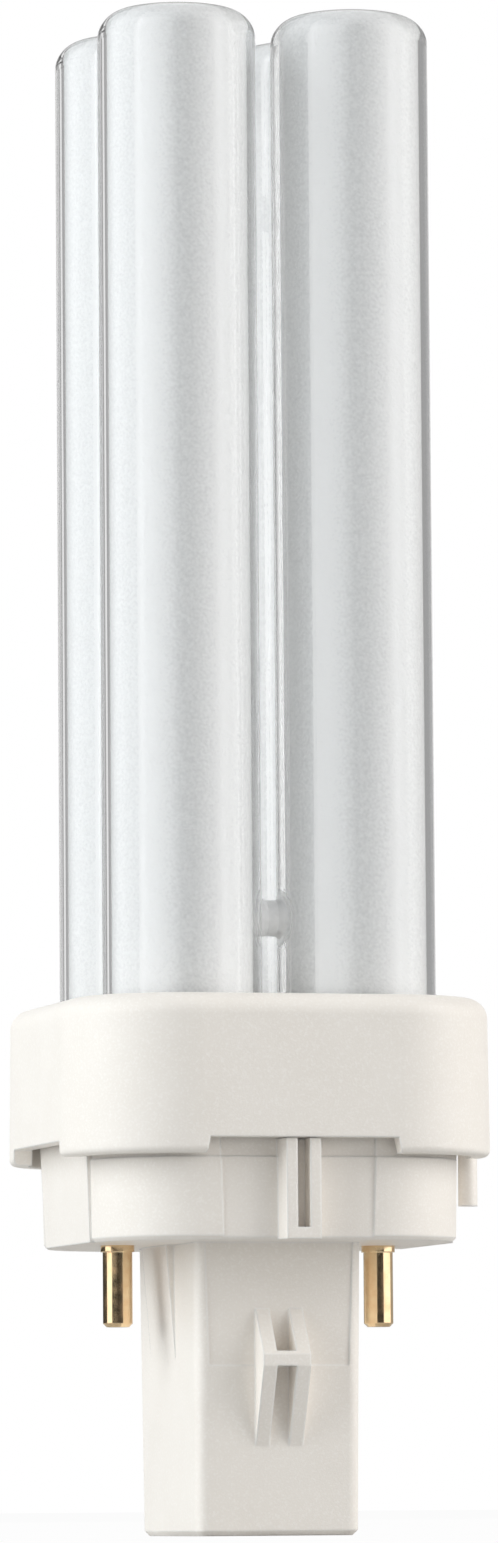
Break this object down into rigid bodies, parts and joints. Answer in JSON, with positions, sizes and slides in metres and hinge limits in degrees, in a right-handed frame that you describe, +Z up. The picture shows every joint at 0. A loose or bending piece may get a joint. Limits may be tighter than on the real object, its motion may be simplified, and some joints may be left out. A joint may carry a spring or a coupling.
{
  "type": "compact fluorescent bulb",
  "caption": "Plug-in compact fluorescent bulb: domed glass limbs lined with white powder, a rounded square collar, a keyed plug with a latched centre post, and brass contact pins.",
  "frame": {"origin": "centre of the foot of the plug's post, the lowest point of the lamp", "axes": "+Z up the lamp's axis towards the domes, X along the line of the two pins, -Y towards the front"},
  "size_m": [0.0338, 0.0338, 0.118],
  "materials": {
    "clear_glass": "gloss",
    "phosphor_powder": "matte",
    "white_plastic": "satin",
    "brass_pin": "turned",
    "tungsten": "satin",
    "lead_wire": "satin",
    "cement": "matte",
    "capacitor_case": "gloss"
  },
  "bodies": {
    "root": {"discharge_tube": "clear_glass", "phosphor_coating": "phosphor_powder", "collar": "white_plastic", "plug_body": "white_plastic", "contact_pin_left": "brass_pin", "contact_pin_right": "brass_pin", "cathode_coil_left": "tungsten", "cathode_coil_right": "tungsten", "cathode_bead_left": "clear_glass", "cathode_bead_right": "clear_glass", "lead_in_left_outer": "lead_wire", "lead_in_right_outer": "lead_wire", "lead_in_left_inner": "lead_wire", "lead_in_right_inner": "lead_wire", "capping_cement": "cement", "starter_bulb": "clear_glass", "starter_fixed_electrode": "lead_wire", "starter_bimetal": "lead_wire", "suppression_capacitor": "capacitor_case", "capacitor_lead_left": "lead_wire", "capacitor_lead_right": "lead_wire"}
  },
  "joints": []
}
